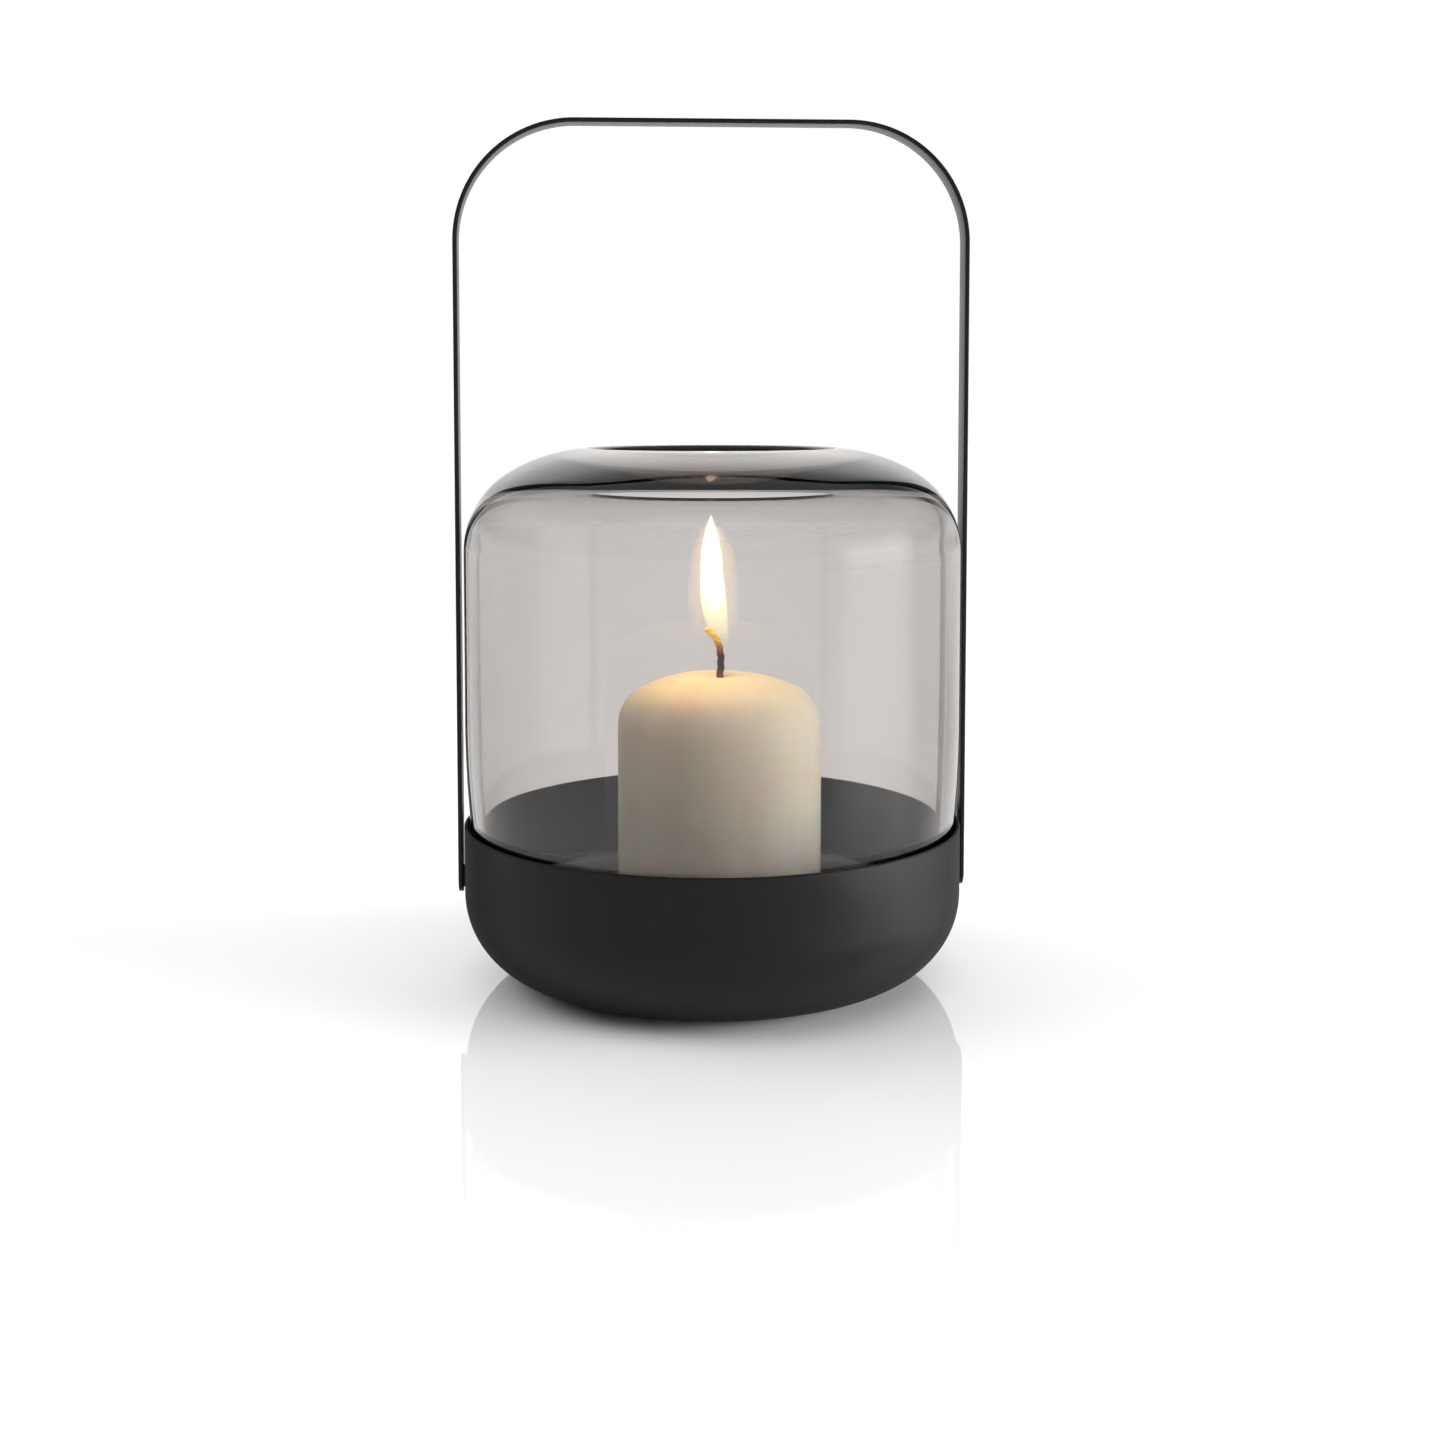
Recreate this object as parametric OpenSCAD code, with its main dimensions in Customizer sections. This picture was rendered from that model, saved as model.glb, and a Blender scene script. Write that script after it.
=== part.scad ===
// Candle lantern: a coated steel bowl, an open blown-glass cylinder standing in it,
// a flat strap handle hinged on two flush rivets, and a pillar candle.
// Millimetres, +Z up, origin at the centre of the resting face, handle in the XZ plane.

/* [Bowl] */
// Outer radius of the bowl
bowl_r = 85; // [70:0.5:110]
// Height of the bowl's rim above the table
bowl_rim_z = 53; // [48:0.5:80]
// Outer radius of the rounded corner between wall and floor
bowl_corner_r = 29; // [20:0.5:32]
// Thickness of the steel sheet
bowl_wall = 1.2; // [0.8:0.1:2]
// Radius of the silicone pad under the bowl
pad_r = 50; // [30:1:54]
// Thickness of the silicone pad
pad_t = 0.8; // [0.5:0.1:2]

/* [Glass] */
// Outer radius of the glass cylinder
glass_r = 84.5; // [70:0.1:84.8]
// Thickness of the glass wall below the shoulder
glass_wall = 4; // [3:0.1:4.5]
// Height of the glass's lower edge above the table
glass_foot_z = 21; // [19:0.5:26]
// Height at which the wall starts to draw in towards its foot
glass_taper_z = 88; // [70:1:100]
// Radius of the long curve that draws the foot in
glass_taper_r = 400; // [350:5:450]
// Height of the centre of the shoulder curve
shoulder_z = 146; // [135:0.5:150]
// Outer radius of the shoulder curve
shoulder_r = 31; // [28:0.5:34]
// Outer radius of the flatter dome above the shoulder
dome_r = 56; // [50:0.5:70]
// Angle above horizontal at which shoulder turns into dome
shoulder_angle = 57.5; // [50:0.5:65]
// Height of the centre of the shoulder curve on the inner face
inner_shoulder_z = 148.1; // [146:0.1:149]
// Radius of the shoulder curve on the inner face
inner_shoulder_r = 22.4; // [21:0.1:24]
// Angle above horizontal at which the inner shoulder turns into the inner dome
inner_shoulder_angle = 67.2; // [65:0.1:69]
// Radius of the dome on the inner face, flatter than the outer one, so the glass thickens to its lip
inner_dome_r = 103.4; // [95:0.1:110]
// Clear radius of the mouth
mouth_r = 40.5; // [40:0.1:44]

/* [Seat ring] */
// Height of the seat ring's upper lip above the table
seat_top_z = 25; // [24:0.5:28]
// Height of the seat ring's underside above the table
seat_low_z = 14; // [13:0.5:17]
// Thickness of the ring beside the glass
seat_lip = 0.9; // [0.6:0.1:1.2]

/* [Handle] */
// Width of the flat strap
strap_w = 10.5; // [8:0.5:14]
// Thickness of the flat strap
strap_t = 1.5; // [1:0.1:2]
// Height of the strap's top face above the table
handle_top_z = 291; // [270:1:310]
// Outer radius of the two bent corners
handle_corner_r = 41; // [30:0.5:50]
// Height of the hinge rivets above the table
pivot_z = 34; // [33:0.5:40]
// Distance between the bowl's widest point and the strap
handle_gap = 0.6; // [0.4:0.1:1]

/* [Rivets] */
// Radius of the rivet shank
shank_r = 2; // [1.5:0.1:2.4]
// Radius of the countersunk outer head
countersunk_r = 3.4; // [3:0.1:4]
// Depth of the countersunk outer head
countersunk_h = 0.9; // [0.6:0.1:1]
// Radius of the inner head
inner_head_r = 3.2; // [2.8:0.1:3.6]
// Height of the inner head
inner_head_h = 0.8; // [0.5:0.1:1]
// Distance by which the inner head narrows towards its face
inner_head_slope = 0.5; // [0.2:0.1:1]
// Radius of both washers
washer_r = 3.8; // [3.6:0.1:4.5]
// Thickness of the backing washer inside the bowl
backing_t = 0.6; // [0.4:0.1:0.8]

/* [Candle] */
// Radius of the pillar candle
candle_r = 35; // [25:0.5:36]
// Height of the candle
candle_h = 102.5; // [60:0.5:106]
// Radius of the candle's softened upper edge
candle_edge_r = 14; // [8:0.5:18]
// Radius of the candle's slightly domed top
candle_dome_r = 64; // [50:1:200]
// Sideways distance of the loose candle from the middle of the bowl
candle_off = 2.5; // [0:0.5:4]
// Radius of the wick
wick_r = 1; // [0.6:0.1:1.5]
// Straight length of wick above the wax
wick_straight = 6.5; // [4:0.5:12]
// Radius of the wick's curled end
wick_curl_r = 9; // [6:0.5:12]
// Angle through which the wick's end curls
wick_curl = 52; // [20:1:80]
// Radius of the metal wick tab under the candle
tab_r = 10; // [8:0.5:15]
// Thickness of the wick tab
tab_t = 0.4; // [0.2:0.1:0.6]
// Clearance round the wick tab in its recess
tab_gap = 0.2; // [0.1:0.1:0.5]

/* [Hidden] */
$fn = 128;
// Facets round small pins, washers and the wick
small_fn = 48;
// Straight parts in each arc of an outline
arc_parts = 12;

black_coat = [0.13, 0.13, 0.13];
smoke_glass = [0.62, 0.60, 0.58, 0.45];
clear_silicone = [0.85, 0.85, 0.83, 0.6];
black_silicone = [0.10, 0.10, 0.10];
plain_steel = [0.55, 0.55, 0.56];
ivory_wax = [0.90, 0.86, 0.76];
burnt_cotton = [0.20, 0.15, 0.12];
tinned_steel = [0.70, 0.70, 0.70];

// Clearance that lets the handle turn on its rivets
running_gap = 0.08;
// Clearance between pieces that are assembled without force
slip_gap = 0.02;
// Distance kept between the seat ring and the bowl that it stands in
rest_gap = 0.3;
// Overshoot of cutting shapes past the faces that they cut
cut = 1;

// Bowl
bowl_corner_x = bowl_r - bowl_corner_r;
bowl_corner_z = pad_t + bowl_corner_r;
floor_z = pad_t + bowl_wall;

// Handle
strap_in_x = bowl_r + handle_gap;
strap_out_x = strap_in_x + strap_t;
rivet_out_x = strap_out_x - running_gap;
countersunk_x = rivet_out_x - countersunk_h;
// The backing washer's rim rests on the bowl's curved inner wall
backing_out_x = sqrt(pow(bowl_r - bowl_wall, 2) - pow(washer_r, 2)) - slip_gap;
backing_in_x = backing_out_x - backing_t;
inner_head_x = backing_in_x - inner_head_h;

// Glass: centres and end angles of the arcs of its outer and inner outlines
taper_c = [glass_r - glass_taper_r, glass_taper_z];
foot_angle = asin((glass_foot_z + glass_wall / 2 - glass_taper_z) / glass_taper_r);
shoulder_c = [glass_r - shoulder_r, shoulder_z];
dome_c = dome_centre(shoulder_c, shoulder_r, dome_r, shoulder_angle);
inner_shoulder_c = [glass_r - glass_wall - inner_shoulder_r, inner_shoulder_z];
inner_dome_c = dome_centre(inner_shoulder_c, inner_shoulder_r, inner_dome_r, inner_shoulder_angle);
// Radius of the round lip, half of the glass's thickness where the lip begins
lip_rounds = 8;
lip_r = fitted_lip(glass_wall / 2, lip_rounds);
lip_x = mouth_r + lip_r;
lip_top_z = height_on(dome_c, dome_r, lip_x);

// Seat ring: it follows the glass's foot with a small assembly gap
foot_x = taper_c[0] + (glass_taper_r - glass_wall / 2) * cos(foot_angle);
seat_in_x = foot_x - glass_wall / 2 - seat_lip;
seat_out_x = foot_x + glass_wall / 2 + seat_lip;

// Candle: the top edge's arc touches the candle's side and the domed top
candle_top_z = floor_z + candle_h;
candle_dome_z = candle_top_z - candle_dome_r;
candle_edge_x = candle_r - candle_edge_r;
candle_edge_z = candle_dome_z
    + sqrt(pow(candle_dome_r - candle_edge_r, 2) - pow(candle_edge_x, 2));
candle_edge_angle = atan2(candle_edge_z - candle_dome_z, candle_edge_x);
candle_chamfer = 1;
tab_recess_h = 2;
tab_neck_r = 2;
tab_neck_h = 1.4;

// Points of an arc about c from angle a0 to angle a1, in degrees
function arc(c, r, a0, a1) =
    [for (i = [0 : arc_parts]) let (a = a0 + (a1 - a0) * i / arc_parts) c + r * [cos(a), sin(a)]];

// Centre of the dome arc that carries on smoothly from a shoulder arc at an angle
function dome_centre(c, r, next_r, angle) = c + (r - next_r) * [cos(angle), sin(angle)];

// Height of an arc about c at distance x from the axis
function height_on(c, r, x) = c[1] + sqrt(pow(r, 2) - pow(x - c[0], 2));

// Radius of the lip that fits between the outer and the inner dome, found by repetition
function fitted_lip(r, rounds) = rounds == 0 ? r : fitted_lip(
    (height_on(dome_c, dome_r, mouth_r + r) - height_on(inner_dome_c, inner_dome_r, mouth_r + r)) / 2,
    rounds - 1);

// Half section of a cup: flat floor, rounded corner, straight wall
module cup_section(r, corner_r, z0, z1) {
    translate([0, z0]) square([r - corner_r, z1 - z0]);
    translate([0, z0 + corner_r]) square([r, z1 - z0 - corner_r]);
    intersection() {
        translate([r - corner_r, z0 + corner_r]) circle(corner_r);
        translate([0, z0]) square([r, corner_r]);
    }
}

// Disc or ring about the hinge axis, from x0 to x1, on the +X side
module hinge_disc(x0, x1, r, r1 = 0, hole_r = 0) {
    end_r = r1 > 0 ? r1 : r;
    translate([x0, 0, pivot_z]) rotate([0, 90, 0]) difference() {
        cylinder(h = x1 - x0, r1 = r, r2 = end_r, $fn = small_fn);
        if (hole_r > 0)
            translate([0, 0, -cut]) cylinder(h = x1 - x0 + 2 * cut, r = hole_r, $fn = small_fn);
    }
}

// Copies its children to the -X side as well
module both_sides() {
    children();
    mirror([1, 0, 0]) children();
}

module bowl() {
    color(black_coat) difference() {
        rotate_extrude() {
            difference() {
                cup_section(bowl_r, bowl_corner_r, pad_t, bowl_rim_z - bowl_wall / 2);
                cup_section(bowl_r - bowl_wall, bowl_corner_r - bowl_wall, floor_z, bowl_rim_z + cut);
            }
            translate([bowl_r - bowl_wall / 2, bowl_rim_z - bowl_wall / 2]) circle(bowl_wall / 2);
        }
        both_sides()
            hinge_disc(bowl_r - bowl_wall - cut, bowl_r + cut, shank_r + slip_gap);
    }
}

module base_pad() {
    color(black_silicone) cylinder(h = pad_t, r = pad_r);
}

// One face of the glass, from foot to lip: taper arc, shoulder arc and dome arc
function glass_face(taper_r, c1, r1, angle, c2, r2) = concat(
    arc(taper_c, taper_r, foot_angle, 0),
    arc(c1, r1, 0, angle),
    arc(c2, r2, angle, acos((lip_x - c2[0]) / r2)));

// Middle of the glass wall at its foot
function foot_mid() =
    taper_c + (glass_taper_r - glass_wall / 2) * [cos(foot_angle), sin(foot_angle)];

function reversed(list) = [for (i = [len(list) - 1 : -1 : 0]) list[i]];

// The arc's points without its two ends, which the neighbouring faces already have
function inner_points(list) = [for (i = [1 : len(list) - 2]) list[i]];

module glass() {
    color(smoke_glass) rotate_extrude() polygon(concat(
        glass_face(glass_taper_r, shoulder_c, shoulder_r, shoulder_angle, dome_c, dome_r),
        inner_points(arc([lip_x, lip_top_z - lip_r], lip_r, 90, 270)),
        reversed(glass_face(glass_taper_r - glass_wall, inner_shoulder_c, inner_shoulder_r,
            inner_shoulder_angle, inner_dome_c, inner_dome_r)),
        inner_points(arc(foot_mid(), glass_wall / 2, foot_angle + 180, foot_angle + 360))));
}

// Groove that the glass's foot stands in, a little wider than the foot
module foot_groove() {
    half_w = glass_wall / 2 + slip_gap;
    translate(foot_mid()) rotate(foot_angle) {
        circle(half_w);
        translate([-half_w, 0]) square([2 * half_w, seat_top_z]);
    }
}

module glass_seat_ring() {
    color(clear_silicone) rotate_extrude() difference() {
        intersection() {
            translate([seat_in_x, seat_low_z])
                square([seat_out_x - seat_in_x, seat_top_z - seat_low_z]);
            translate([bowl_corner_x, bowl_corner_z])
                circle(bowl_corner_r - bowl_wall - rest_gap);
        }
        foot_groove();
    }
}

// Upright slab with two rounded upper corners, in the XZ plane
module handle_slab(half_w, top_z, corner_r, width) {
    translate([-half_w, -width / 2, pivot_z - strap_w])
        cube([2 * half_w, width, top_z - corner_r - pivot_z + strap_w]);
    translate([corner_r - half_w, -width / 2, top_z - corner_r - cut])
        cube([2 * (half_w - corner_r), width, corner_r + cut]);
    both_sides()
        translate([half_w - corner_r, 0, top_z - corner_r])
            rotate([90, 0, 0]) cylinder(h = width, r = corner_r, center = true);
}

// Cuts the strap's lower ends to half circles about the hinge axis
module strap_end_trim() {
    translate([0, 0, pivot_z - strap_w]) cube([3 * bowl_r, 3 * strap_w, 2 * strap_w], center = true);
}

module handle() {
    color(black_coat) difference() {
        union() {
            difference() {
                handle_slab(strap_out_x, handle_top_z, handle_corner_r, strap_w);
                handle_slab(strap_in_x, handle_top_z - strap_t, handle_corner_r - strap_t,
                    strap_w + 2 * cut);
                strap_end_trim();
            }
            both_sides() hinge_disc(strap_in_x, strap_out_x, strap_w / 2);
        }
        both_sides() {
            hinge_disc(strap_in_x - cut, strap_out_x + cut, shank_r + running_gap);
            hinge_disc(countersunk_x, strap_out_x + slip_gap,
                shank_r + running_gap, countersunk_r + 2 * running_gap);
        }
    }
}

// Rivet with a flush countersunk outer head and a flat inner head, on the +X side
module rivet() {
    color(plain_steel) {
        hinge_disc(inner_head_x, backing_in_x, inner_head_r - inner_head_slope, inner_head_r);
        hinge_disc(inner_head_x + inner_head_h / 2, rivet_out_x, shank_r);
        hinge_disc(countersunk_x, rivet_out_x, shank_r, countersunk_r);
    }
}

module rivet_right() {
    rivet();
}

module rivet_left() {
    mirror([1, 0, 0]) rivet();
}

module spacer_washer_right() {
    color(black_silicone) hinge_disc(bowl_r, strap_in_x, washer_r, 0, shank_r + slip_gap);
}

module spacer_washer_left() {
    mirror([1, 0, 0]) spacer_washer_right();
}

module backing_washer_right() {
    color(plain_steel) hinge_disc(backing_in_x, backing_out_x, washer_r, 0, shank_r + slip_gap);
}

module backing_washer_left() {
    mirror([1, 0, 0]) backing_washer_right();
}

module candle() {
    color(ivory_wax) translate([candle_off, 0, 0]) difference() {
        rotate_extrude() polygon(concat(
            [[0, floor_z], [candle_r - candle_chamfer, floor_z], [candle_r, floor_z + candle_chamfer]],
            arc([candle_edge_x, candle_edge_z], candle_edge_r, 0, candle_edge_angle),
            arc([0, candle_dome_z], candle_dome_r, candle_edge_angle, 90)));
        translate([0, 0, floor_z - cut]) cylinder(h = candle_h + 2 * cut, r = wick_r, $fn = small_fn);
        translate([0, 0, floor_z - cut]) cylinder(h = tab_recess_h + cut, r = tab_r + tab_gap);
    }
}

// Straight length in the wax, then a curl towards -X
module wick() {
    bottom_z = floor_z + tab_t + tab_neck_h;
    bend_z = candle_top_z + wick_straight;
    color(burnt_cotton) translate([candle_off, 0, 0]) {
        translate([0, 0, bottom_z]) cylinder(h = bend_z - bottom_z, r = wick_r, $fn = small_fn);
        translate([-wick_curl_r, 0, bend_z]) rotate([90, 0, 0])
            rotate_extrude(angle = wick_curl) translate([wick_curl_r, 0]) circle(wick_r, $fn = small_fn);
    }
}

module wick_tab() {
    color(tinned_steel) translate([candle_off, 0, floor_z]) {
        cylinder(h = tab_t, r = tab_r);
        cylinder(h = tab_t + tab_neck_h, r = tab_neck_r, $fn = small_fn);
    }
}

bowl();
base_pad();
glass();
glass_seat_ring();
handle();
rivet_left();
rivet_right();
spacer_washer_left();
spacer_washer_right();
backing_washer_left();
backing_washer_right();
candle();
wick();
wick_tab();
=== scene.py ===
"""Looks of the candle lantern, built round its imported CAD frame.

Metres, +Z up, origin under the middle of the bowl, handle in the XZ plane. Lengths taken from the
design are written in millimetres and multiplied by MM.
"""
import math

import bmesh
import bpy
from mathutils import Matrix, Vector, noise


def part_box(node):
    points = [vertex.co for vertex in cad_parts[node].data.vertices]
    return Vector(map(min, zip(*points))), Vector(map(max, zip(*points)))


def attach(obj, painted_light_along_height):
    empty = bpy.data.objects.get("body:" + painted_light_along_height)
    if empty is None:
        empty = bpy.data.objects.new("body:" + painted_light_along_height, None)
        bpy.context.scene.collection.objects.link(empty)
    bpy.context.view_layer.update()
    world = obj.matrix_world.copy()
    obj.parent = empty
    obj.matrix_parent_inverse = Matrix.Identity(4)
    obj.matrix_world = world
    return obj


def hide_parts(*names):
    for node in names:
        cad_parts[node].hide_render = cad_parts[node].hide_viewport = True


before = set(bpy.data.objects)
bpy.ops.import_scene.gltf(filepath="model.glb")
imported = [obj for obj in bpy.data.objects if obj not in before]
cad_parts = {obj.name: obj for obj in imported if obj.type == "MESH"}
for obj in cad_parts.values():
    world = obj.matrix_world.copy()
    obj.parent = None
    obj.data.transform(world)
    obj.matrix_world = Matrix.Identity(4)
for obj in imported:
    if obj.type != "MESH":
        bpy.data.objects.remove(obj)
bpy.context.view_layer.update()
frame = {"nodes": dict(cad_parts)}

MM = 0.001
TURNS = 256          # steps round a turned piece

# ---------------------------------------------------------------- places taken from the frame
bowl_lo, bowl_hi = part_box("bowl")
glass_lo, glass_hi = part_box("glass")
candle_lo, candle_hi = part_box("candle")
handle_lo, handle_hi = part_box("handle")

BOWL_R = bowl_hi.x
RIM_Z = bowl_hi.z
PAD_T = bowl_lo.z
GLASS_R = glass_hi.x
FOOT_Z = glass_lo.z
CANDLE_R = (candle_hi.x - candle_lo.x) / 2
CANDLE_X = (candle_hi.x + candle_lo.x) / 2
CANDLE_TOP = candle_hi.z
FLOOR_Z = candle_lo.z
STRAP_OUT = handle_hi.x
STRAP_W = handle_hi.y - handle_lo.y
HANDLE_TOP = handle_hi.z
PIVOT_Z = handle_lo.z + STRAP_W / 2

# ---------------------------------------------------------------- sizes shared with the design
BOWL_CORNER_R = 29 * MM
BOWL_WALL = 1.2 * MM
GLASS_WALL = 4.0 * MM
TAPER_Z = 88 * MM
TAPER_R = 400 * MM
SHOULDER_Z = 146 * MM
SHOULDER_R = 31 * MM
SHOULDER_ANGLE = 57.5
DOME_R = 56 * MM
IN_SHOULDER_Z = 148.1 * MM
IN_SHOULDER_R = 22.4 * MM
IN_SHOULDER_ANGLE = 67.2
IN_DOME_R = 103.4 * MM
MOUTH_R = 40.5 * MM
STRAP_T = 1.5 * MM
HANDLE_CORNER_R = 41 * MM
RIVET_R = 2.08 * MM
RIVET_HEAD_R = 3.56 * MM
RIVET_HEAD_H = 1.0 * MM
CANDLE_EDGE_R = 14 * MM
CANDLE_DOME_R = 64 * MM
WICK_R = 1.15 * MM

# ---------------------------------------------------------------- sizes of the Blender pieces alone
STRAP_EDGE_R = 0.3 * MM      # how far the strap's long edges are rounded
INNER_WAVE = 0.05 * MM       # unevenness of the glass's faces
OUTER_WAVE = 0.02 * MM
EASING = 12                  # passes that soften the inner face's changes of curvature
BEND_STEPS = 32              # steps along the larger bends of the bowl and the glass
CROWN_STEPS = 24             # and along the domes and the candle's edge


# ---------------------------------------------------------------- outlines and meshes
def arc(centre, radius, start, end, steps):
    """Points of an arc in the (radius, height) plane, angles in degrees."""
    points = []
    for i in range(steps + 1):
        a = math.radians(start + (end - start) * i / steps)
        points.append((centre[0] + radius * math.cos(a), centre[1] + radius * math.sin(a)))
    return points


def make_object(name, verts, faces):
    mesh = bpy.data.meshes.new(name)
    mesh.from_pydata(verts, [], faces)
    mesh.validate()
    mesh.update()
    mesh.shade_smooth()
    piece = bpy.data.objects.new(name, mesh)
    bpy.context.scene.collection.objects.link(piece)
    return piece


def lathe(name, outline, closed, x=0.0, turns=TURNS, move=None):
    """Turns an outline of (radius, height) points about a vertical axis through x.

    A closed outline makes a ring. An open one starts and ends on the axis.
    move(point, angle) may shift each vertex.
    """
    verts = []
    rings = []
    for radius, height in outline:
        count = 1 if radius < 1e-7 else turns
        ring = []
        for k in range(count):
            angle = 2 * math.pi * k / turns
            point = Vector((radius * math.cos(angle), radius * math.sin(angle), height))
            if move:
                point = move(point, angle)
            ring.append(len(verts))
            verts.append((point.x + x, point.y, point.z))
        rings.append(ring)
    pairs = list(zip(rings, rings[1:]))
    if closed:
        pairs.append((rings[-1], rings[0]))
    faces = []
    for low, high in pairs:
        for k in range(turns):
            n = (k + 1) % turns
            if len(low) == 1:
                faces.append((low[0], high[n], high[k]))
            elif len(high) == 1:
                faces.append((low[k], low[n], high[0]))
            else:
                faces.append((low[k], low[n], high[n], high[k]))
    return make_object(name, verts, faces)


def face_outwards(piece, merge=False):
    """Turns all faces outwards, if asked after merging doubled points."""
    bm = bmesh.new()
    bm.from_mesh(piece.data)
    if merge:
        bmesh.ops.remove_doubles(bm, verts=bm.verts, dist=0.002 * MM)
    bmesh.ops.recalc_face_normals(bm, faces=bm.faces)
    bm.to_mesh(piece.data)
    bm.free()


def tube_faces(rings, around):
    """Faces between neighbouring rings of around points each."""
    faces = []
    for i in range(rings - 1):
        low, high = i * around, (i + 1) * around
        for k in range(around):
            n = (k + 1) % around
            faces.append((low + k, low + n, high + n, high + k))
    return faces


def end_caps(rings, around):
    """The two faces that close a tube's ends."""
    last = (rings - 1) * around
    return [tuple(range(around)), tuple(range(last, last + around))[::-1]]


def give(piece, material):
    piece.data.materials.clear()
    piece.data.materials.append(material)


# ---------------------------------------------------------------- materials
def new_material(name):
    """An empty node material: returns the material, its nodes, its links and its output."""
    material = bpy.data.materials.new(name)
    material.use_nodes = True
    nodes = material.node_tree.nodes
    nodes.clear()
    output = nodes.new("ShaderNodeOutputMaterial")
    return material, nodes, material.node_tree.links, output


def principled(name, **values):
    material, nodes, links, output = new_material(name)
    shader = nodes.new("ShaderNodeBsdfPrincipled")
    for key, value in values.items():
        shader.inputs[key.replace("_", " ")].default_value = value
    links.new(shader.outputs[0], output.inputs["Surface"])
    return material, nodes, links, shader


def noise_node(nodes, links, scale, detail=4.0, stretch=(1, 1, 1)):
    """Noise in object space, its pattern scaled per axis by stretch."""
    coords = nodes.new("ShaderNodeTexCoord")
    mapping = nodes.new("ShaderNodeMapping")
    mapping.inputs["Scale"].default_value = stretch
    texture = nodes.new("ShaderNodeTexNoise")
    texture.inputs["Scale"].default_value = scale
    texture.inputs["Detail"].default_value = detail
    links.new(coords.outputs["Object"], mapping.inputs["Vector"])
    links.new(mapping.outputs[0], texture.inputs["Vector"])
    return texture


def ramp(nodes, links, source, stops):
    """Colour ramp fed by source; stops are (position, (r, g, b))."""
    node = nodes.new("ShaderNodeValToRGB")
    elements = node.color_ramp.elements
    while len(elements) > 1:
        elements.remove(elements[-1])
    elements[0].position = stops[0][0]
    elements[0].color = (*stops[0][1], 1)
    for position, colour in stops[1:]:
        elements.new(position).color = (*colour, 1)
    links.new(source, node.inputs[0])
    return node.outputs["Color"]


def span(nodes, links, source, low, high, to_low=0.0, to_high=1.0):
    """Stretches the range low to high of source onto to_low to to_high."""
    node = nodes.new("ShaderNodeMapRange")
    node.inputs["From Min"].default_value = low
    node.inputs["From Max"].default_value = high
    node.inputs["To Min"].default_value = to_low
    node.inputs["To Max"].default_value = to_high
    links.new(source, node.inputs["Value"])
    return node.outputs[0]


def calculate(nodes, links, operation, a, b):
    """Math node on two inputs, each a number or an output."""
    node = nodes.new("ShaderNodeMath")
    node.operation = operation
    for socket, value in zip(node.inputs, (a, b)):
        if isinstance(value, (int, float)):
            socket.default_value = value
        else:
            links.new(value, socket)
    return node.outputs[0]


def multiply(nodes, links, a, b):
    """Product of two colours."""
    node = nodes.new("ShaderNodeMix")
    node.data_type = "RGBA"
    node.blend_type = "MULTIPLY"
    node.inputs["Factor"].default_value = 1.0
    links.new(a, node.inputs["A"])
    links.new(b, node.inputs["B"])
    return node.outputs["Result"]


def height_between(nodes, links, low, high):
    """0 at height low of the piece, 1 at height high."""
    coords = nodes.new("ShaderNodeTexCoord")
    parts = nodes.new("ShaderNodeSeparateXYZ")
    links.new(coords.outputs["Object"], parts.inputs[0])
    return span(nodes, links, parts.outputs["Z"], low, high)


def facing(nodes, links, start, end, at_start, at_end):
    """Goes from at_start to at_end as the surface turns from facing the eye to edge-on."""
    weight = nodes.new("ShaderNodeLayerWeight")
    weight.inputs["Blend"].default_value = 0.5
    return span(nodes, links, weight.outputs["Facing"], start, end, at_start, at_end)


def bump(nodes, links, shader, source, strength, distance):
    node = nodes.new("ShaderNodeBump")
    node.inputs["Strength"].default_value = strength
    node.inputs["Distance"].default_value = distance
    links.new(source, node.inputs["Height"])
    links.new(node.outputs[0], shader.inputs["Normal"])


def powder_coat(name, gloss, spread_by, grain_depth):
    """Fine-grained black coat; seen at a flat angle its grain spreads the gloss further."""
    material, nodes, links, shader = principled(name, Specular_IOR_Level=gloss, Roughness=0.32)
    cloud = noise_node(nodes, links, 60, 3)
    blacks = [(0.3, (0.0046, 0.0046, 0.0046)), (0.7, (0.0060, 0.0059, 0.0058))]
    links.new(ramp(nodes, links, cloud.outputs[0], blacks), shader.inputs["Base Color"])
    roughness = span(nodes, links, cloud.outputs[0], 0.3, 0.7, 0.30, 0.34)
    spread = facing(nodes, links, 0.3, 0.7, 0.0, spread_by)
    links.new(calculate(nodes, links, "ADD", roughness, spread), shader.inputs["Roughness"])
    grain = noise_node(nodes, links, 2600, 2)
    bump(nodes, links, shader, grain.outputs[0], grain_depth, 0.08 * MM)
    return material


def smoke_glass():
    """Clear, smooth glass whose grey comes from absorption, so thicker places are darker."""
    material, nodes, links, _ = principled(
        "smoke_grey_glass", Base_Color=(1, 1, 1, 1), Roughness=0.0, IOR=1.5, Transmission_Weight=1.0)
    absorb = nodes.new("ShaderNodeVolumeAbsorption")
    absorb.inputs["Color"].default_value = (0.35, 0.29, 0.25, 1)
    absorb.inputs["Density"].default_value = 113
    links.new(absorb.outputs[0], nodes["Material Output"].inputs["Volume"])
    return material


def silicone(name, colour, **values):
    """Finely grained rubber."""
    material, nodes, links, shader = principled(name, Base_Color=(*colour, 1), **values)
    grain = noise_node(nodes, links, 900, 2)
    bump(nodes, links, shader, grain.outputs[0], 0.1, 0.1 * MM)
    return material


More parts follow.
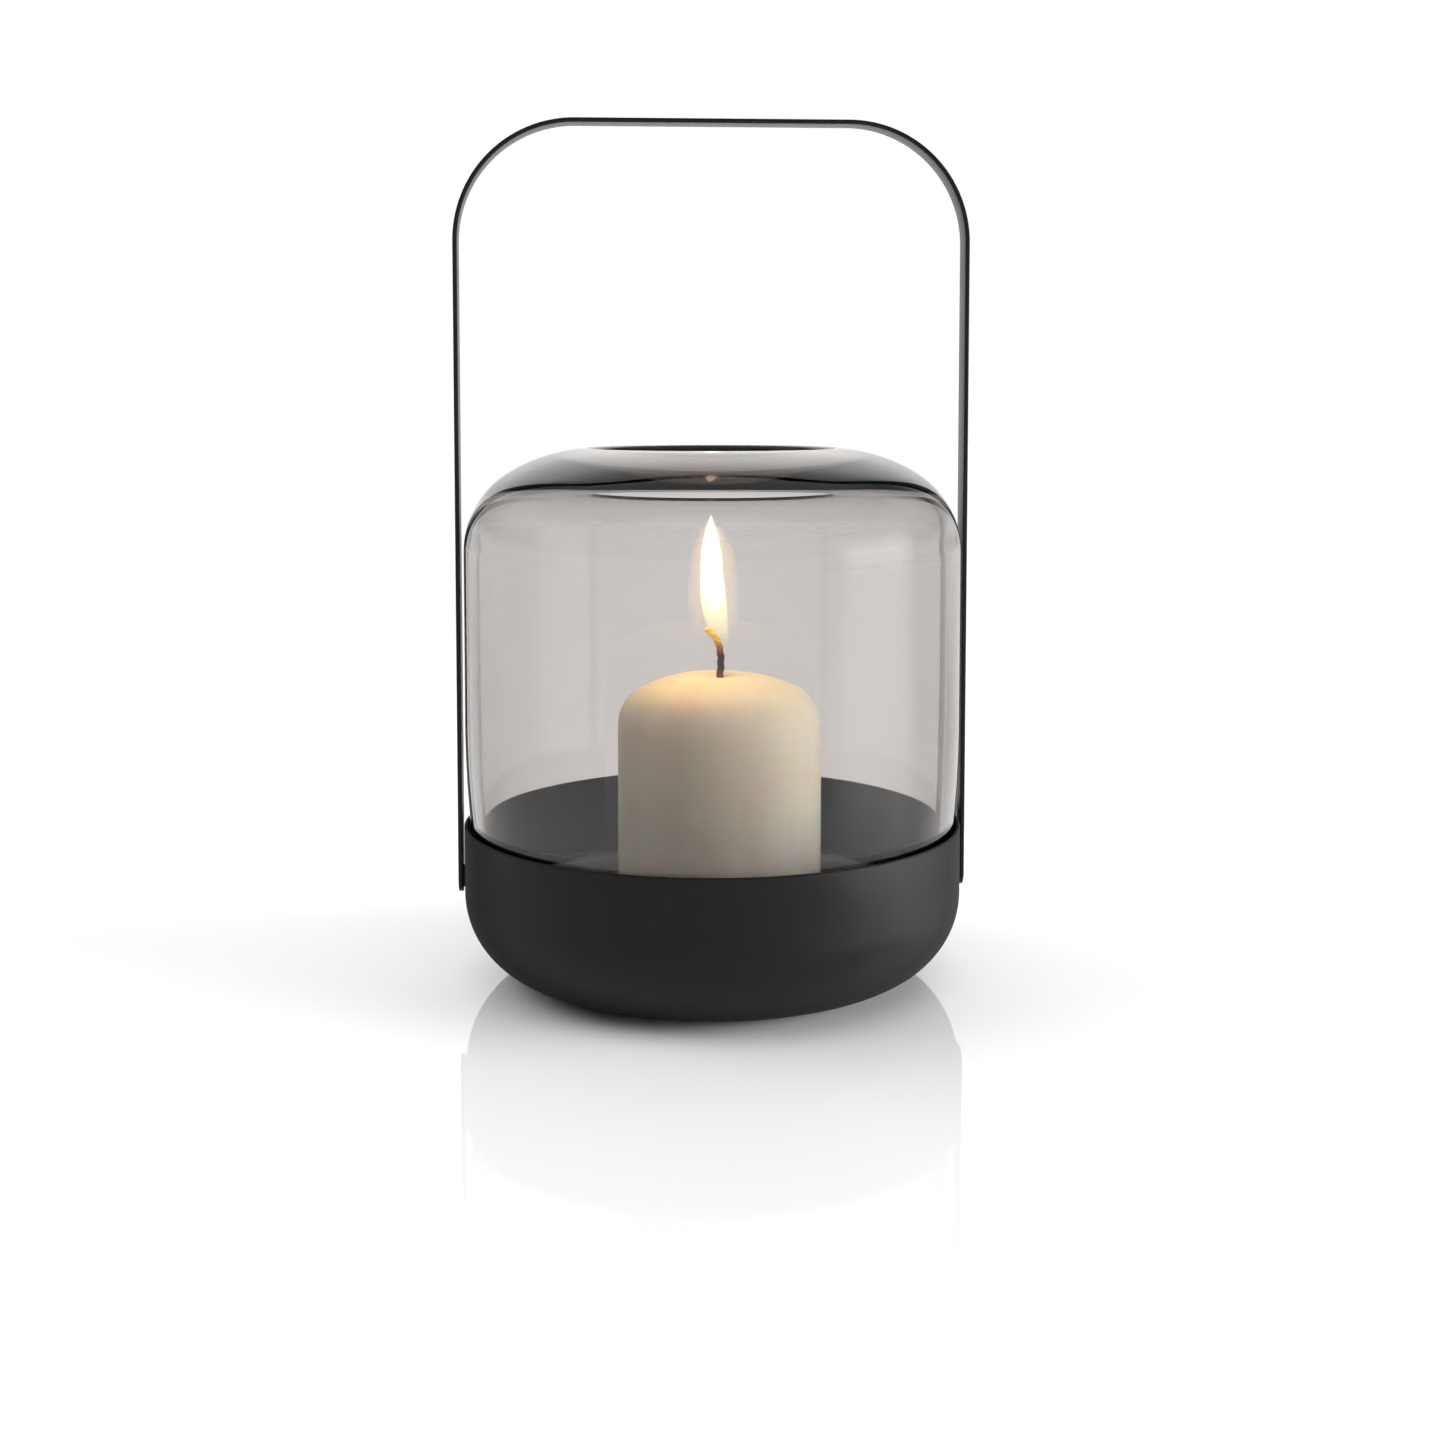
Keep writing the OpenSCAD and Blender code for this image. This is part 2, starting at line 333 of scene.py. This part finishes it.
def candle_wax():
    """Ivory wax with faint clouds and upright streaks, and painted light along its height: painted lighter
    towards its foot, which the bowl shades, and painted yellower at its top, where the flame's warm light
    falls.
    """
    material, nodes, links, shader = principled(
        "ivory_wax", Roughness=0.45, Specular_IOR_Level=0.4, IOR=1.44,
        Subsurface_Weight=1.0, Subsurface_Radius=(1.0, 0.55, 0.25), Subsurface_Scale=0.012)
    white = (1.0, 1.0, 1.0)
    height = height_between(nodes, links, FLOOR_Z, CANDLE_TOP)
    # painted light by height: the foot is painted lighter against the bowl's shade, and the top is painted
    # yellow for the flame's warm light
    painted_light_along_height = ramp(nodes, links, height, [
        (0.0, (0.985, 0.92, 0.80)), (0.35, (0.95, 0.89, 0.77)), (0.7, (0.92, 0.86, 0.73)),
        (0.86, (0.92, 0.85, 0.71)), (1.0, (0.91, 0.81, 0.58))])
    cloud = noise_node(nodes, links, 55, 5)
    clouds = ramp(nodes, links, cloud.outputs[0], [(0.3, (0.96, 0.955, 0.94)), (0.7, white)])
    streak = noise_node(nodes, links, 110, 3, (1, 1, 0.05))
    streaks = ramp(nodes, links, streak.outputs[0], [(0.35, (0.95, 0.94, 0.925)), (0.6, white)])
    clouded = multiply(nodes, links, painted_light_along_height, clouds)
    links.new(multiply(nodes, links, clouded, streaks), shader.inputs["Base Color"])
    speck = noise_node(nodes, links, 420, 3)
    bump(nodes, links, shader, speck.outputs[0], 0.08, 0.2 * MM)
    return material


def metal(name, dark, pale, **values):
    """Small metal parts with a cloudy finish."""
    material, nodes, links, shader = principled(name, **values)
    cloud = noise_node(nodes, links, 700, 3)
    colour = ramp(nodes, links, cloud.outputs[0], [(0.3, dark), (0.7, pale)])
    links.new(colour, shader.inputs["Base Color"])
    return material


def burnt_wick():
    """Charred cotton, reddish at its foot with a faint painted red glow there; its curled end is painted
    gold and glowing, partly its ember's own glow and partly painted flame light.
    """
    material, nodes, links, shader = principled("burnt_wick", Roughness=0.85)
    plain = height_between(nodes, links, CHAR_FOOT, CHAR_END)
    cloud = noise_node(nodes, links, 900, 2)
    wave = span(nodes, links, cloud.outputs[0], 0.3, 0.7, -0.04, 0.04)
    height = calculate(nodes, links, "ADD", plain, wave)
    # base colour: reddish foot, black middle, and a curled end painted gold for the flame's light on it
    links.new(ramp(nodes, links, height, [
        (0.0, (0.16, 0.035, 0.012)), (0.14, (0.10, 0.02, 0.010)), (0.24, (0.02, 0.012, 0.011)),
        (0.52, (0.018, 0.012, 0.011)), (0.66, (0.12, 0.04, 0.02)), (0.8, (0.45, 0.28, 0.06))]),
        shader.inputs["Base Color"])
    # emission: a faint painted red glow at the foot; at the curled end a glow that is partly the ember's
    # own and partly painted flame light
    links.new(ramp(nodes, links, height, [
        (0.0, (0.05, 0.006, 0.0)), (0.2, (0, 0, 0)), (0.5, (0, 0, 0)), (0.62, (0.20, 0.06, 0.02)),
        (0.74, (0.40, 0.20, 0.03)), (0.86, (0.50, 0.34, 0.06)), (1.0, (0.42, 0.32, 0.08))]),
        shader.inputs["Emission Color"])
    shader.inputs["Emission Strength"].default_value = 1.0
    grain = noise_node(nodes, links, 2200, 3)
    bump(nodes, links, shader, grain.outputs[0], 0.5, 0.2 * MM)
    return material


def flame_material(name, colours, strength, fade, solid):
    """Added light that fades towards the flame's outline (fade, by facing) and along its height (solid)."""
    material, nodes, links, output = new_material(name)
    height = height_between(nodes, links, FLAME_LEFT[-1][1] * MM, FLAME_TIP[1] * MM)
    across = facing(nodes, links, fade[0], fade[1], 1.0, 0.0)
    along = ramp(nodes, links, height, [(at, (v, v, v)) for at, v in solid])
    both = calculate(nodes, links, "MULTIPLY", across, along)
    emission = nodes.new("ShaderNodeEmission")
    links.new(ramp(nodes, links, height, colours), emission.inputs["Color"])
    links.new(calculate(nodes, links, "MULTIPLY", both, strength), emission.inputs["Strength"])
    clear = nodes.new("ShaderNodeBsdfTransparent")
    total = nodes.new("ShaderNodeAddShader")
    links.new(clear.outputs[0], total.inputs[0])
    links.new(emission.outputs[0], total.inputs[1])
    links.new(total.outputs[0], output.inputs["Surface"])
    return material


# ---------------------------------------------------------------- bowl
def make_bowl(coat):
    """Thin shell with a flat floor, one large bend and a round rim, standing on its pad."""
    half = BOWL_WALL / 2
    corner = (BOWL_R - BOWL_CORNER_R, PAD_T + BOWL_CORNER_R)
    outline = [(0, PAD_T), (corner[0] / 2, PAD_T)]
    outline += arc(corner, BOWL_CORNER_R, -90, 0, BEND_STEPS)
    outline += [(BOWL_R, (corner[1] + RIM_Z) / 2)]
    outline += arc((BOWL_R - half, RIM_Z - half), half, 0, 180, 10)
    outline += [(BOWL_R - BOWL_WALL, (corner[1] + RIM_Z) / 2)]
    outline += arc(corner, BOWL_CORNER_R - BOWL_WALL, 0, -90, BEND_STEPS)
    outline += [(corner[0] / 2, PAD_T + BOWL_WALL), (0, PAD_T + BOWL_WALL)]
    piece = lathe("bowl_shell", outline, closed=False)
    face_outwards(piece)
    give(piece, coat)
    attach(piece, "root")
    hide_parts("bowl")


# ---------------------------------------------------------------- glass
def dome_arcs(wall_r, shoulder_z, shoulder_r, angle, dome_r):
    """Centres of the shoulder arc and of the dome arc that carries on from it at an angle."""
    shoulder = (wall_r - shoulder_r, shoulder_z)
    a = math.radians(angle)
    step = shoulder_r - dome_r
    dome = (shoulder[0] + step * math.cos(a), shoulder[1] + step * math.sin(a))
    return shoulder, dome


def dome_height(dome, radius, x):
    """Height of the dome's arc at distance x from the axis."""
    return dome[1] + math.sqrt(radius ** 2 - (x - dome[0]) ** 2)


def wall_line(wall_r, taper_r, foot_a, shoulder, shoulder_r, angle, dome, dome_r, lip_x):
    """One face of the glass wall, from its foot to its lip."""
    line = arc((GLASS_R - TAPER_R, TAPER_Z), taper_r, foot_a, 0, 16)
    line += [(wall_r, TAPER_Z + (shoulder[1] - TAPER_Z) * i / 8) for i in range(1, 8)]
    line += arc(shoulder, shoulder_r, 0, angle, BEND_STEPS)
    lip_a = math.degrees(math.acos((lip_x - dome[0]) / dome_r))
    line += arc(dome, dome_r, angle, lip_a, CROWN_STEPS)[1:]
    return line


def eased(line, passes):
    """The line with its changes of curvature spread out, as in blown glass; its ends stay."""
    for _ in range(passes):
        inside = [((a[0] + 2 * b[0] + c[0]) / 4, (a[1] + 2 * b[1] + c[1]) / 4)
                  for a, b, c in zip(line, line[1:], line[2:])]
        line = [line[0]] + inside + [line[-1]]
    return line


def glass_outline():
    """Even wall at the side, thickening over the dome towards a round lip."""
    shoulder, dome = dome_arcs(GLASS_R, SHOULDER_Z, SHOULDER_R, SHOULDER_ANGLE, DOME_R)
    wall_r = GLASS_R - GLASS_WALL
    in_shoulder, in_dome = dome_arcs(
        wall_r, IN_SHOULDER_Z, IN_SHOULDER_R, IN_SHOULDER_ANGLE, IN_DOME_R)
    lip_r = GLASS_WALL / 2
    for _ in range(8):      # the lip's radius and its place depend on each other
        lip_x = MOUTH_R + lip_r
        top = dome_height(dome, DOME_R, lip_x)
        low = dome_height(in_dome, IN_DOME_R, lip_x)
        lip_r = (top - low) / 2
    half = GLASS_WALL / 2
    foot_a = math.degrees(math.asin((FOOT_Z + half - TAPER_Z) / TAPER_R))
    foot = arc((GLASS_R - TAPER_R, TAPER_Z), TAPER_R - half, foot_a, foot_a, 1)[0]
    outline = wall_line(GLASS_R, TAPER_R, foot_a, shoulder, SHOULDER_R, SHOULDER_ANGLE,
                        dome, DOME_R, lip_x)
    outline += arc((lip_x, (top + low) / 2), lip_r, 90, 270, 20)[1:-1]
    inner = wall_line(wall_r, TAPER_R - GLASS_WALL, foot_a, in_shoulder, IN_SHOULDER_R,
                      IN_SHOULDER_ANGLE, in_dome, IN_DOME_R, lip_x)
    outline += eased(inner, EASING)[::-1]
    outline += arc(foot, half, foot_a + 180, foot_a + 360, 12)[1:-1]
    return outline


def blown(point, angle):
    """Slight unevenness of blown glass, stronger on the inner face."""
    radius = math.hypot(point.x, point.y)
    inner = radius < GLASS_R - GLASS_WALL * 0.6
    depth = INNER_WAVE if inner else OUTER_WAVE
    wave = noise.noise(Vector((point.x * 18, point.y * 18, point.z * 22)))
    scale = 1 - depth * (0.5 + 0.5 * wave) / radius
    return Vector((point.x * scale, point.y * scale, point.z))


def make_glass(material):
    piece = lathe("glass_cylinder", glass_outline(), closed=True, move=blown)
    face_outwards(piece)
    give(piece, material)
    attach(piece, "glass")
    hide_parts("glass")


# ---------------------------------------------------------------- handle
def handle_path():
    """Stations along the middle of the strap: (position, outward normal, half width)."""
    half_t = STRAP_T / 2
    side = STRAP_OUT - half_t
    bend = HANDLE_CORNER_R - half_t
    corner = (side - bend, HANDLE_TOP - HANDLE_CORNER_R)
    end_r = STRAP_W / 2
    end_steps, side_steps, bend_steps, top_steps = 18, 40, 40, 16
    right = []
    for i in range(1, end_steps + 1):
        a = math.radians(90 * i / end_steps)
        right.append(((side, PIVOT_Z - end_r * math.cos(a)), (1, 0), end_r * math.sin(a)))
    for i in range(1, side_steps):
        z = PIVOT_Z + (corner[1] - PIVOT_Z) * i / side_steps
        right.append(((side, z), (1, 0), end_r))
    for i in range(bend_steps + 1):
        a = math.radians(90 * i / bend_steps)
        position = (corner[0] + bend * math.cos(a), corner[1] + bend * math.sin(a))
        right.append((position, (math.cos(a), math.sin(a)), end_r))
    for i in range(1, top_steps):
        x = corner[0] * (1 - i / top_steps)
        right.append(((x, HANDLE_TOP - half_t), (0, 1), end_r))
    middle = [((0.0, HANDLE_TOP - half_t), (0, 1), end_r)]
    left = [((-p[0], p[1]), (-n[0], n[1]), w) for p, n, w in right]
    return right + middle + left[::-1]


def strap_section(half_t, half_w, edge):
    """Rounded rectangle as (outward, sideways) pairs."""
    edge = min(edge, half_w * 0.9)
    points = []
    for quarter, (sx, sy) in enumerate([(1, 1), (-1, 1), (-1, -1), (1, -1)]):
        centre = (sx * (half_t - edge), sy * (half_w - edge))
        points += arc(centre, edge, quarter * 90, quarter * 90 + 90, 4)
    return points


def apply_modifiers(piece):
    """Keeps the piece's mesh as its modifiers leave it."""
    depsgraph = bpy.context.evaluated_depsgraph_get()
    mesh = bpy.data.meshes.new_from_object(piece.evaluated_get(depsgraph))
    piece.modifiers.clear()
    piece.data = mesh


def rivet_cutter():
    """A bar along the pivot's axis that flares at both ends, for holes with countersunk mouths."""
    neck = STRAP_OUT - RIVET_HEAD_H
    end = STRAP_OUT + RIVET_HEAD_H
    end_r = RIVET_HEAD_R + (RIVET_HEAD_R - RIVET_R)
    line = [(0, -end), (end_r, -end), (RIVET_R, -neck), (RIVET_R, neck), (end_r, end), (0, end)]
    cutter = lathe("rivet_cutter", line, closed=False, turns=64)
    face_outwards(cutter)
    lying = Matrix.Rotation(math.pi / 2, 4, "Y")
    cutter.data.transform(Matrix.Translation((0, 0, PIVOT_Z)) @ lying)
    return cutter


def make_handle(coat):
    """The bent strap with its half-round ends and its two rivet holes."""
    verts = []
    for (px, pz), (nx, nz), half_w in handle_path():
        section = strap_section(STRAP_T / 2, half_w, STRAP_EDGE_R)
        for out, side in section:
            verts.append((px + nx * out, side, pz + nz * out))
    around = len(section)
    stations = len(verts) // around
    faces = tube_faces(stations, around) + end_caps(stations, around)
    piece = make_object("handle_strap", verts, faces)
    face_outwards(piece)
    cutter = rivet_cutter()
    hole = piece.modifiers.new("hole", "BOOLEAN")
    hole.object = cutter
    hole.solver = "EXACT"
    apply_modifiers(piece)
    bpy.data.objects.remove(cutter)
    piece.data.shade_smooth()
    give(piece, coat)
    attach(piece, "handle")
    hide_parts("handle")


# ---------------------------------------------------------------- candle
def softened(point, angle):
    """Uneven melting of the wax near the top edge, and a shallow pool round the wick."""
    melted = 20 * MM
    pool_r = 8 * MM
    radius = math.hypot(point.x, point.y)
    height = (point.z - (CANDLE_TOP - melted)) / melted
    if height <= 0:
        return point
    wave = noise.noise(Vector((point.x * 30, point.y * 30, 3.0)))
    drop = 0.5 * MM * max(0.0, wave) * min(1.0, height)
    pool = 2.5 * MM * math.exp(-(radius / pool_r) ** 2)
    return Vector((point.x, point.y, point.z - drop - pool))


def make_candle(wax):
    """Pillar with a slightly rounded foot, a soft top edge and a crown."""
    edge_x = CANDLE_R - CANDLE_EDGE_R
    dome_z = CANDLE_TOP - CANDLE_DOME_R
    edge_z = dome_z + math.sqrt((CANDLE_DOME_R - CANDLE_EDGE_R) ** 2 - edge_x ** 2)
    edge_a = math.degrees(math.atan2(edge_z - dome_z, edge_x))
    foot = 1 * MM
    outline = [(0, FLOOR_Z), (CANDLE_R / 2, FLOOR_Z)]
    outline += arc((CANDLE_R - foot, FLOOR_Z + foot), foot, -90, 0, 6)
    side_z = FLOOR_Z + foot
    outline += [(CANDLE_R, side_z + (edge_z - side_z) * i / 12) for i in range(1, 12)]
    outline += arc((edge_x, edge_z), CANDLE_EDGE_R, 0, edge_a, CROWN_STEPS)
    outline += arc((0, dome_z), CANDLE_DOME_R, edge_a, 90, CROWN_STEPS)[1:-1]
    outline += [(0, CANDLE_TOP)]
    piece = lathe("candle_body", outline, closed=False, x=CANDLE_X, move=softened)
    face_outwards(piece)
    give(piece, wax)
    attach(piece, "candle")
    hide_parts("candle")


def bezier(points, t):
    """Point on the Bezier curve of any degree through its control points."""
    points = [Vector(p) for p in points]
    while len(points) > 1:
        points = [a.lerp(b, t) for a, b in zip(points, points[1:])]
    return points[0]


# the wick's middle line and the flame's two outlines, as (x, z) in millimetres
WICK_ROUTE = [(2.2, 100.0), (2.9, 104.0), (4.1, 112.0), (2.2, 117.2), (-2.6, 119.0)]
CHAR_FOOT = 101 * MM       # heights between which the wick's colours run
CHAR_END = 119 * MM
FLAME_TIP = (-0.4, 162.4)
FLAME_LEFT = [FLAME_TIP, (-3.6, 151), (-8.6, 121), (3.4, 112)]
FLAME_RIGHT = [FLAME_TIP, (2.6, 150), (5.2, 130), (6.6, 112)]
FLAME_DEPTH = 0.85         # the flame's depth over its width
FLAME_BACK = 3.4 * MM      # how far the flame's foot stands behind the curled wick


def in_plane(points):
    """Points (x, z) in millimetres as metres in the XZ plane."""
    return [(x * MM, 0, z * MM) for x, z in points]


def make_wick(material):
    """A braided wick: a tube with three strands twisted round it, curled at its end."""
    steps, around = 80, 18
    tapering = 0.93        # the wick narrows from here to its end
    near = 0.01
    route = in_plane(WICK_ROUTE)
    verts = []
    for i in range(steps + 1):
        t = i / steps
        here = bezier(route, t)
        ahead = bezier(route, min(1, t + near)) - bezier(route, max(0, t - near))
        ahead.normalize()
        side = Vector((0, 1, 0))
        up = ahead.cross(side)
        taper = 1.0
        if t >= tapering:
            taper = math.sqrt(max(0.02, 1 - ((t - tapering) / (1 - tapering)) ** 2))
        for k in range(around):
            a = 2 * math.pi * k / around
            braid = 0.16 * math.cos(3 * a + t * 42)
            fuzz = 0.08 * noise.noise(Vector((t * 30, a * 2, 0)))
            radius = WICK_R * (1 + braid + fuzz) * taper
            verts.append(here + (side * math.cos(a) + up * math.sin(a)) * radius)
    faces = tube_faces(steps + 1, around) + end_caps(steps + 1, around)
    piece = make_object("burnt_wick", verts, faces)
    face_outwards(piece)
    give(piece, material)
    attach(piece, "candle")
    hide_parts("wick")


# ---------------------------------------------------------------- flame
def make_flame(name, material, widen, first, last):
    """Turned, leaning shape between the flame's outlines, for the part of its length first to last."""
    steps, around = 72, 48
    verts = []
    for i in range(steps + 1):
        t = first + (last - first) * i / steps
        left = bezier(in_plane(FLAME_LEFT), t)
        right = bezier(in_plane(FLAME_RIGHT), t)
        back = FLAME_BACK * max(0.0, (t - 0.5) / 0.5)
        middle = (left + right) / 2 + Vector((0, back, 0))
        close = math.sqrt(max(0.0, 1 - (2 * i / steps - 1) ** 8))
        half = (right - left) / 2 * widen * close
        depth = half.length * FLAME_DEPTH
        for k in range(around):
            a = 2 * math.pi * k / around
            verts.append(middle + half * math.cos(a) + Vector((0, depth * math.sin(a), 0)))
    piece = make_object(name, verts, tube_faces(steps + 1, around))
    face_outwards(piece, merge=True)
    give(piece, material)
    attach(piece, "candle")
    return piece


def make_flame_core():
    colours = [(0.24, (1.0, 0.80, 0.30)), (0.5, (1.0, 0.92, 0.75))]
    solid = [(0.22, 0.0), (0.42, 1.0)]
    material = flame_material("flame_core", colours, 2.0, (0.4, 1.0), solid)
    make_flame("flame_core", material, 0.6, 0.1, 0.76)


def make_flame_veil():
    colours = [(0.0, (1.0, 0.70, 0.20)), (0.27, (1.0, 0.76, 0.14)), (0.4, (1.0, 0.84, 0.46)),
               (0.8, (1.0, 0.86, 0.55)), (1.0, (1.0, 0.78, 0.30))]
    solid = [(0.0, 0.0), (0.08, 0.1), (0.2, 0.3), (0.36, 1.0), (0.78, 1.0), (0.92, 0.8), (1.0, 0.4)]
    material = flame_material("flame_veil", colours, 1.0, (0.2, 0.98), solid)
    return make_flame("flame_veil", material, 1.0, 0.0, 1.0)


def make_flame_glow():
    solid = [(0.05, 0.0), (0.3, 0.8), (0.6, 1.0), (0.9, 0.5), (1.0, 0.2)]
    material = flame_material("flame_glow", [(0.0, (1.0, 0.55, 0.16))], 0.22, (0.0, 0.6), solid)
    make_flame("flame_glow", material, 2.3, 0.05, 1.0)


def make_flame_light(flame):
    """The warm light that the flame throws on the wax; it moves with the flame."""
    data = bpy.data.lights.new("flame_light", "POINT")
    data.energy = 0.066
    data.color = (1.0, 0.58, 0.16)
    data.shadow_soft_size = 4 * MM
    light = bpy.data.objects.new("flame_light", data)
    bpy.context.scene.collection.objects.link(light)
    light.parent = flame
    light.location = (-7 * MM, -6 * MM, 138 * MM)
    light.visible_camera = False
    light.visible_glossy = False
    light.visible_transmission = False


# ---------------------------------------------------------------- studio
FLOOR_HALF = 8.0           # metres from the middle of the floor to its edges
FLOOR_GREY = 0.765

# strengths of the studio's lights, as seen by matt surfaces
CEILING = 1.16
SOFTBOX_RIGHT = 32.0
SOFTBOX_LEFT = 3.5
BACK_WALL = 1.1
BACK_WALL_FOOT = 0.7       # part of it left near the horizon
FILL = 0.22
# parts of that light taken away from mirror-like reflections, and from the white surround's top
SOFTBOX_HIDDEN = 0.92
CEILING_HIDDEN = 0.7
SURROUND_HIDDEN = 0.88

LENS = 47.92               # millimetres, on a sensor 36 mm wide
SHIFT = (0.0071, -0.125)
CAMERA_DISTANCE = 0.6566
CAMERA_HEIGHT = 0.197
CAMERA_TURN = 3.4          # degrees from the front towards the handle's left side
CAMERA_DOWN = 4.21         # degrees below level


def make_floor():
    s = FLOOR_HALF
    floor = make_object("studio_floor", [(-s, -s, 0), (s, -s, 0), (s, s, 0), (-s, s, 0)], [(0, 1, 2, 3)])
    material, _, _, _ = principled(
        "pale_floor", Base_Color=(FLOOR_GREY, FLOOR_GREY, FLOOR_GREY, 1),
        Roughness=0.04, Specular_IOR_Level=0.5)
    give(floor, material)


def make_world():
    """Soft studio light, and a white surround for rays from the camera, straight or through the glass.

    The light depends on the kind of ray: mirror-like reflections get weaker softboxes and a weaker
    ceiling, and a pale horizon. It is tuned to a look and isn't that of one real studio.
    """
    world = bpy.data.worlds.new("studio")
    bpy.context.scene.world = world
    world.use_nodes = True
    nodes = world.node_tree.nodes
    links = world.node_tree.links
    nodes.clear()

    def total(a, b):
        return calculate(nodes, links, "ADD", a, b)

    def product(a, b):
        return calculate(nodes, links, "MULTIPLY", a, b)

    def rest_of(a):
        return calculate(nodes, links, "SUBTRACT", 1, a)

    def larger(a, b):
        return calculate(nodes, links, "MAXIMUM", a, b)

    coords = nodes.new("ShaderNodeTexCoord")
    parts = nodes.new("ShaderNodeSeparateXYZ")
    links.new(coords.outputs["Generated"], parts.inputs[0])
    flat = nodes.new("ShaderNodeVectorMath")
    flat.operation = "MULTIPLY"
    flat.inputs[1].default_value = (1, 1, 0)
    links.new(coords.outputs["Generated"], flat.inputs[0])
    level = nodes.new("ShaderNodeVectorMath")
    level.operation = "NORMALIZE"
    links.new(flat.outputs[0], level.inputs[0])

    def smooth(source, low, high):
        node = nodes.new("ShaderNodeMapRange")
        node.interpolation_type = "SMOOTHSTEP"
        node.inputs["From Min"].default_value = low
        node.inputs["From Max"].default_value = high
        links.new(source, node.inputs["Value"])
        return node.outputs[0]

    def towards(azimuth, wide, narrow):
        """1 within narrow degrees of a compass direction, 0 beyond wide; 0 is the front, 90 is +X."""
        a = math.radians(azimuth)
        dot = nodes.new("ShaderNodeVectorMath")
        dot.operation = "DOT_PRODUCT"
        dot.inputs[1].default_value = (math.sin(a), -math.cos(a), 0)
        links.new(level.outputs[0], dot.inputs[0])
        return smooth(dot.outputs["Value"], math.cos(math.radians(wide)), math.cos(math.radians(narrow)))

    def rising(low, high):
        """0 below low degrees above the horizon, 1 above high."""
        return smooth(parts.outputs["Z"], math.sin(math.radians(low)), math.sin(math.radians(high)))

    def falling(low, high):
        return rest_of(rising(low, high))

    path = nodes.new("ShaderNodeLightPath").outputs
    mirrored = product(path["Is Glossy Ray"], rest_of(path["Is Transmission Ray"]))

    right = product(product(towards(78, 28, 8), falling(10, 28)), SOFTBOX_RIGHT)
    left = product(product(towards(-100, 40, 12), product(rising(12, 28), falling(45, 60))), SOFTBOX_LEFT)
    softboxes = product(total(right, left), rest_of(product(mirrored, SOFTBOX_HIDDEN)))
    ceiling = product(product(rising(35, 60), CEILING), rest_of(product(mirrored, CEILING_HIDDEN)))
    back = product(product(towards(180, 40, 22), falling(35, 60)), BACK_WALL)
    back = product(back, total(BACK_WALL_FOOT, product(rising(6, 18), 1 - BACK_WALL_FOOT)))
    horizon = product(mirrored, falling(3, 14))
    light = larger(total(total(ceiling, softboxes), total(back, FILL)), horizon)

    no_bounce = calculate(nodes, links, "LESS_THAN", path["Diffuse Depth"], 0.5)
    through = product(path["Is Transmission Ray"], no_bounce)
    seen = larger(path["Is Camera Ray"], through)
    surround = larger(path["Is Camera Ray"], rest_of(product(rising(30, 50), SURROUND_HIDDEN)))

    def background(strength):
        node = nodes.new("ShaderNodeBackground")
        node.inputs["Color"].default_value = (1, 1, 1, 1)
        links.new(strength, node.inputs["Strength"])
        return node.outputs[0]

    mix = nodes.new("ShaderNodeMixShader")
    links.new(seen, mix.inputs[0])
    links.new(background(light), mix.inputs[1])
    links.new(background(surround), mix.inputs[2])
    output = nodes.new("ShaderNodeOutputWorld")
    links.new(mix.outputs[0], output.inputs["Surface"])


def make_camera():
    """A normal lens from a little above the glass's top, looking slightly down."""
    data = bpy.data.cameras.new("camera")
    data.sensor_width = 36
    data.lens = LENS
    data.shift_x, data.shift_y = SHIFT
    camera = bpy.data.objects.new("camera", data)
    bpy.context.scene.collection.objects.link(camera)
    turn = math.radians(CAMERA_TURN)
    camera.location = (-CAMERA_DISTANCE * math.sin(turn), -CAMERA_DISTANCE * math.cos(turn), CAMERA_HEIGHT)
    camera.rotation_euler = (math.radians(90 - CAMERA_DOWN), 0, -turn)
    bpy.context.scene.camera = camera


# ---------------------------------------------------------------- pieces that keep their CAD shape
def dress_small_parts():
    """Materials for the pad, the seat ring, the washers, the rivets and the wick's tab."""
    nodes = frame["nodes"]
    black = silicone("black_silicone", (0.02, 0.02, 0.02), Roughness=0.7)
    for name in ("base_pad", "spacer_washer_left", "spacer_washer_right"):
        give(nodes[name], black)
    clear = silicone(
        "clear_silicone", (0.8, 0.8, 0.78), Roughness=0.3, Transmission_Weight=0.7, IOR=1.4)
    give(nodes["glass_seat_ring"], clear)
    steel = metal(
        "black_rivet_steel", (0.010, 0.010, 0.010), (0.020, 0.020, 0.019), Metallic=0.3, Roughness=0.45)
    for name in ("rivet_left", "rivet_right", "backing_washer_left", "backing_washer_right"):
        give(nodes[name], steel)
    tinned = metal("tinned_tab", (0.50, 0.50, 0.49), (0.66, 0.66, 0.64), Metallic=1.0, Roughness=0.35)
    give(nodes["wick_tab"], tinned)


# ---------------------------------------------------------------- build
make_bowl(powder_coat("black_powder_coat", gloss=0.2, spread_by=0.45, grain_depth=0.12))
make_handle(powder_coat("black_strap_coat", gloss=0.2, spread_by=0.0, grain_depth=0.03))
make_glass(smoke_glass())
make_candle(candle_wax())
make_wick(burnt_wick())
make_flame_core()
veil = make_flame_veil()
make_flame_glow()
make_flame_light(veil)
dress_small_parts()

make_floor()
make_world()
make_camera()
bpy.context.scene.view_settings.view_transform = "Standard"
